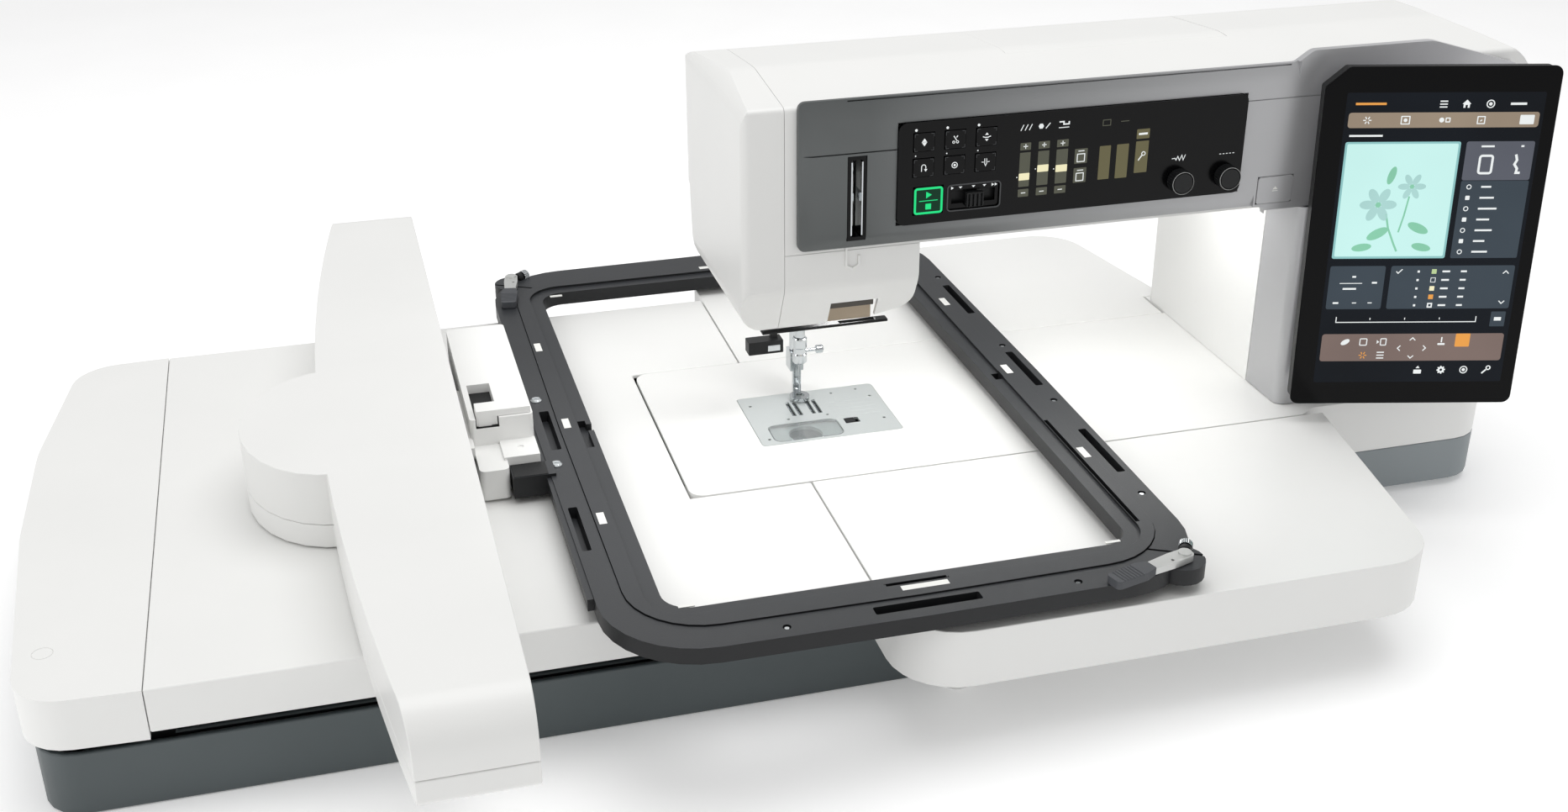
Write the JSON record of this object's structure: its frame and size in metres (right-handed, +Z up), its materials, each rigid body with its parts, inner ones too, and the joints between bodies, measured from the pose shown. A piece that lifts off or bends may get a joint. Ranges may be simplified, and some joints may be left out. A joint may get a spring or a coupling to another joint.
{
  "type": "embroidery machine",
  "caption": "Sewing machine with a long arm, touch screen, side embroidery unit, sliding carriage arm, large two-ring hoop and extension tables.",
  "frame": {"origin": "middle of the bounding box in plan, on the supporting surface under the feet", "axes": "+X along the bed from the embroidery unit to the handwheel, +Y from the front of the machine to its back, +Z up"},
  "size_m": [1.091, 0.763, 0.353],
  "materials": {
    "white_cover": "satin moulded cover, warm white",
    "grey_base": "fine matt mid grey",
    "slate_base": "satin slate grey",
    "metallic_trim": "silver grey metallic paint",
    "black_gloss": "polished black",
    "screen_glass": "black glass over the display",
    "black_matte": "fine matt black",
    "steel": "ground steel",
    "chrome": "bright plating",
    "cast_frame": "as cast",
    "clear_plastic": "clear polished",
    "hoop_plastic": "satin charcoal"
  },
  "bodies": {
    "machine": {"machine_base": "grey_base", "lower_cover": "white_cover", "column_cover": "white_cover", "column_trim": "metallic_trim", "arm_cover": "white_cover", "spool_tray": "white_cover", "spool_pin": "chrome", "face_cover": "white_cover", "needle_area_cover": "white_cover", "needle_lamp": "clear_plastic", "front_trim": "metallic_trim", "thread_channel": "black_gloss", "control_panel": "black_gloss", "screen_glass": "screen_glass", "screen_housing": "metallic_trim", "needle_plate": "steel", "chassis_frame": "cast_frame", "main_motor": "black_matte", "power_inlet": "black_matte", "front_table": "white_cover", "rear_table": "white_cover", "unit_cover": "white_cover", "unit_end_cap": "white_cover", "unit_base": "slate_base", "x_rail": "steel"},
    "x_carriage": {"carriage_arm_cover": "white_cover", "carriage_arm_tray": "white_cover", "y_rail": "steel"},
    "y_carriage": {"hoop_carriage": "white_cover", "hoop_outer_ring": "hoop_plastic", "hoop_inner_ring": "hoop_plastic"},
    "hoop_release": {"release_lever": "white_cover"},
    "front_clamp": {"front_clamp_lever": "steel"},
    "rear_clamp": {"rear_clamp_lever": "steel"},
    "needle_drive": {"needle_bar": "chrome", "needle_clamp": "chrome", "needle": "steel"},
    "presser": {"presser_bar": "chrome", "embroidery_foot": "chrome"},
    "take_up": {"take_up_lever": "chrome"},
    "threader": {"needle_threader": "black_matte"},
    "feed": {"feed_dog": "steel"},
    "hook": {"rotary_hook": "steel"},
    "bobbin_body": {"bobbin": "clear_plastic"},
    "bobbin_window": {"bobbin_cover": "clear_plastic"},
    "window_latch": {"cover_latch": "black_matte"},
    "main_shaft": {"upper_shaft": "steel", "handwheel": "white_cover"},
    "lid": {"top_lid": "white_cover"},
    "start_button": {"start_stop_button": "black_matte"},
    "speed_knob": {"speed_slider": "black_matte"},
    "left_dial": {"dial_left": "black_gloss"},
    "right_dial": {"dial_right": "black_gloss"},
    "lid_button": {"lid_open_button": "metallic_trim"},
    "key_1": {"function_key_1": "black_matte"},
    "key_2": {"function_key_2": "black_matte"},
    "key_3": {"function_key_3": "black_matte"},
    "key_4": {"function_key_4": "black_matte"},
    "key_5": {"function_key_5": "black_matte"},
    "key_6": {"function_key_6": "black_matte"}
  },
  "joints": [
    {"name": "carriage_x", "type": "slide", "parent": "machine", "child": "x_carriage", "axis": [1, 0, 0], "range_m": [-0.1265, 0.1535]},
    {"name": "carriage_y", "type": "slide", "parent": "x_carriage", "child": "y_carriage", "axis": [0, 1, 0], "range_m": [-0.1955, 0.2645]},
    {"name": "release_slide", "type": "slide", "parent": "y_carriage", "child": "hoop_release", "axis": [0, 1, 0], "range_m": [0, 0.038]},
    {"name": "front_clamp_turn", "type": "hinge", "parent": "y_carriage", "child": "front_clamp", "pos_m": [0.1575, -0.2895, 0.102], "axis": [0, 0, 1], "range_deg": [0, 100]},
    {"name": "rear_clamp_turn", "type": "hinge", "parent": "y_carriage", "child": "rear_clamp", "pos_m": [-0.1815, 0.2775, 0.102], "axis": [0, 0, 1], "range_deg": [-100, 0]},
    {"name": "needle_bar_slide", "type": "slide", "parent": "machine", "child": "needle_drive", "axis": [0, 0, 1], "range_m": [-0.017, 0.014]},
    {"name": "presser_bar_slide", "type": "slide", "parent": "machine", "child": "presser", "axis": [0, 0, 1], "range_m": [0, 0.009]},
    {"name": "take_up_swing", "type": "hinge", "parent": "machine", "child": "take_up", "pos_m": [0.0115, -0.0115, 0.275], "axis": [1, 0, 0], "range_deg": [-13.5, 16.5]},
    {"name": "threader_slide", "type": "slide", "parent": "machine", "child": "threader", "axis": [0, 0, 1], "range_m": [-0.03, 0], "stiffness_N_per_m": 60, "springref_m": 0.008},
    {"name": "feed_lift", "type": "slide", "parent": "machine", "child": "feed", "axis": [0, 0, 1], "range_m": [0, 0.002]},
    {"name": "main_shaft_turn", "type": "hinge", "parent": "machine", "child": "main_shaft", "pos_m": [0.0015, 0.0235, 0.268], "axis": [1, 0, 0], "continuous": true},
    {"name": "hook_turn", "type": "hinge", "parent": "machine", "child": "hook", "pos_m": [-0.008, -0.0215, 0.048], "axis": [0, 0, 1], "continuous": true},
    {"name": "bobbin_turn", "type": "hinge", "parent": "hook", "child": "bobbin_body", "pos_m": [-0.008, -0.0215, 0.058], "axis": [0, 0, 1], "continuous": true},
    {"name": "bobbin_cover_lift", "type": "slide", "parent": "machine", "child": "bobbin_window", "axis": [0, 0, 1], "range_m": [0, 0.03]},
    {"name": "latch_slide", "type": "slide", "parent": "machine", "child": "window_latch", "axis": [1, 0, 0], "range_m": [0, 0.003], "stiffness_N_per_m": 300},
    {"name": "lid_hinge", "type": "hinge", "parent": "machine", "child": "lid", "pos_m": [0.2265, 0.1165, 0.3213], "axis": [-1, 0, 0], "range_deg": [0, 95]},
    {"name": "start_press", "type": "slide", "parent": "machine", "child": "start_button", "axis": [0, 1, 0], "range_m": [0, 0.001], "stiffness_N_per_m": 900},
    {"name": "speed_slide", "type": "slide", "parent": "machine", "child": "speed_knob", "axis": [1, 0, 0], "range_m": [-0.011, 0.011]},
    {"name": "dial_left_turn", "type": "hinge", "parent": "machine", "child": "left_dial", "pos_m": [0.2431, -0.0765, 0.2698], "axis": [0, 1, 0], "continuous": true},
    {"name": "dial_right_turn", "type": "hinge", "parent": "machine", "child": "right_dial", "pos_m": [0.2789, -0.0765, 0.2698], "axis": [0, 1, 0], "continuous": true},
    {"name": "lid_button_press", "type": "slide", "parent": "machine", "child": "lid_button", "axis": [0, 1, 0], "range_m": [0, 0.001], "stiffness_N_per_m": 900},
    {"name": "key_1_press", "type": "slide", "parent": "machine", "child": "key_1", "axis": [0, 1, 0], "range_m": [0, 0.001], "stiffness_N_per_m": 900},
    {"name": "key_2_press", "type": "slide", "parent": "machine", "child": "key_2", "axis": [0, 1, 0], "range_m": [0, 0.001], "stiffness_N_per_m": 900},
    {"name": "key_3_press", "type": "slide", "parent": "machine", "child": "key_3", "axis": [0, 1, 0], "range_m": [0, 0.001], "stiffness_N_per_m": 900},
    {"name": "key_4_press", "type": "slide", "parent": "machine", "child": "key_4", "axis": [0, 1, 0], "range_m": [0, 0.001], "stiffness_N_per_m": 900},
    {"name": "key_5_press", "type": "slide", "parent": "machine", "child": "key_5", "axis": [0, 1, 0], "range_m": [0, 0.001], "stiffness_N_per_m": 900},
    {"name": "key_6_press", "type": "slide", "parent": "machine", "child": "key_6", "axis": [0, 1, 0], "range_m": [0, 0.001], "stiffness_N_per_m": 900}
  ],
  "couplings": [
    {"joint": "take_up_swing", "follows": "needle_bar_slide", "rad_per_m": -16},
    {"joint": "hook_turn", "follows": "main_shaft_turn", "ratio": 2}
  ]
}
